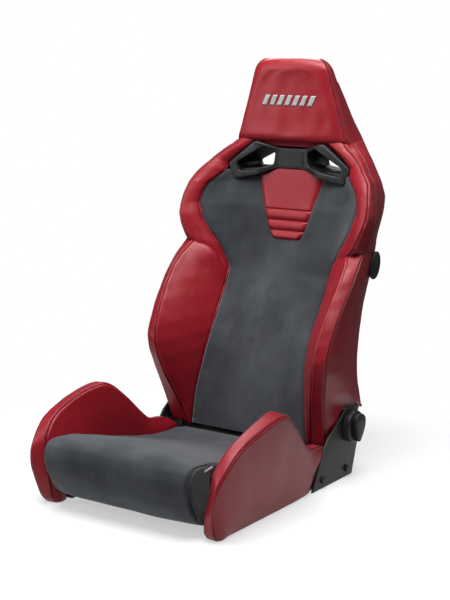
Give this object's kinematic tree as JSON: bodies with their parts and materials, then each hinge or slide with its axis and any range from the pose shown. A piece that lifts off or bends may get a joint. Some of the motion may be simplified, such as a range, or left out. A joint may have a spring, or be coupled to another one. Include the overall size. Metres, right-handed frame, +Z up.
{
  "type": "reclining sports seat",
  "caption": "Reclining bolstered sports seat: leather and suede pads on a steel frame, belt guides, a side dial for the recline and shoulder levers that fold the back.",
  "frame": {"origin": "middle of the seat's mounting plane: on the symmetry plane, half-way along the base frame, at the height of the side members' undersides", "axes": "+Z up, the occupant faces -Y, +X is the occupant's left"},
  "size_m": [0.5437, 0.829, 0.979],
  "materials": {
    "red_leather": "fine-grained semi-matt leather",
    "suede": "short-napped grey suede",
    "black_cloth": "plain black cloth",
    "frame_steel": "black powder coat",
    "bracket_paint": "satin dark grey powder coat",
    "spring_wire": "oiled spring wire",
    "zinc_steel": "zinc plated",
    "black_plastic": "fine-textured moulded plastic"
  },
  "bodies": {
    "base": {"seat_side_member_left": "frame_steel", "seat_side_member_right": "frame_steel", "front_cross_tube": "frame_steel", "rear_cross_tube": "frame_steel", "centre_strap": "frame_steel", "seat_pan": "frame_steel", "seat_cushion": "suede", "cushion_gusset_left": "black_cloth", "cushion_gusset_right": "black_cloth", "thigh_bolster_left": "red_leather", "thigh_bolster_right": "red_leather", "side_bracket_left": "bracket_paint", "side_bracket_right": "bracket_paint", "bracket_spacer_left": "bracket_paint", "bracket_spacer_right": "bracket_paint", "mount_nut_front_left": "zinc_steel", "mount_nut_front_right": "zinc_steel", "mount_nut_rear_left": "zinc_steel", "mount_nut_rear_right": "zinc_steel", "bracket_bolt_front_left": "bracket_paint", "bracket_bolt_front_right": "bracket_paint", "bracket_bolt_rear_left": "bracket_paint", "bracket_bolt_rear_right": "bracket_paint", "recliner_fixed_half_left": "zinc_steel", "recliner_fixed_half_right": "zinc_steel", "hinge_cover_right": "black_plastic"},
    "recliner": {"recliner_disc_left": "zinc_steel", "recliner_disc_right": "zinc_steel", "sync_rod": "zinc_steel"},
    "backrest": {"back_side_member_left": "frame_steel", "back_side_member_right": "frame_steel", "back_hoop": "frame_steel", "back_cross_tube": "frame_steel", "back_spring_lower": "spring_wire", "back_spring_middle": "spring_wire", "back_spring_upper": "spring_wire", "belt_guide_front": "black_plastic", "belt_guide_rear": "black_plastic", "rear_shell": "black_plastic", "lever_housing_left": "black_plastic", "lever_housing_right": "black_plastic", "shell_screw_lower_left": "black_plastic", "shell_screw_lower_right": "black_plastic", "shell_screw_upper_left": "black_plastic", "shell_screw_upper_right": "black_plastic", "back_pad": "suede", "upper_insert": "red_leather", "headrest_pad": "red_leather", "side_bolster_left": "red_leather", "side_bolster_right": "red_leather", "shoulder_wing_left": "red_leather", "shoulder_wing_right": "red_leather"},
    "dial": {"recline_dial": "black_plastic"},
    "lever_left": {"tilt_lever_left": "black_plastic"},
    "lever_right": {"tilt_lever_right": "black_plastic"}
  },
  "joints": [
    {"name": "recline", "type": "hinge", "parent": "base", "child": "recliner", "pos_m": [0, 0.275, 0.123], "axis": [-1, 0, 0], "range_deg": [-6, 50]},
    {"name": "fold_forward", "type": "hinge", "parent": "recliner", "child": "backrest", "pos_m": [0, 0.275, 0.123], "axis": [1, 0, 0], "range_deg": [0, 25]},
    {"name": "dial_turn", "type": "hinge", "parent": "base", "child": "dial", "pos_m": [0, 0.275, 0.123], "axis": [-1, 0, 0], "range_deg": [-180, 1500]},
    {"name": "pull_lever_left", "type": "hinge", "parent": "backrest", "child": "lever_left", "pos_m": [0.247, 0.368, 0.472], "axis": [-1, 0, 0], "range_deg": [0, 20], "stiffness_Nm_per_rad": 0.5, "springref_deg": -11.46},
    {"name": "pull_lever_right", "type": "hinge", "parent": "backrest", "child": "lever_right", "pos_m": [-0.247, 0.368, 0.472], "axis": [-1, 0, 0], "range_deg": [0, 20], "stiffness_Nm_per_rad": 0.5, "springref_deg": -11.46}
  ],
  "couplings": [
    {"joint": "dial_turn", "follows": "recline", "ratio": 30}
  ]
}
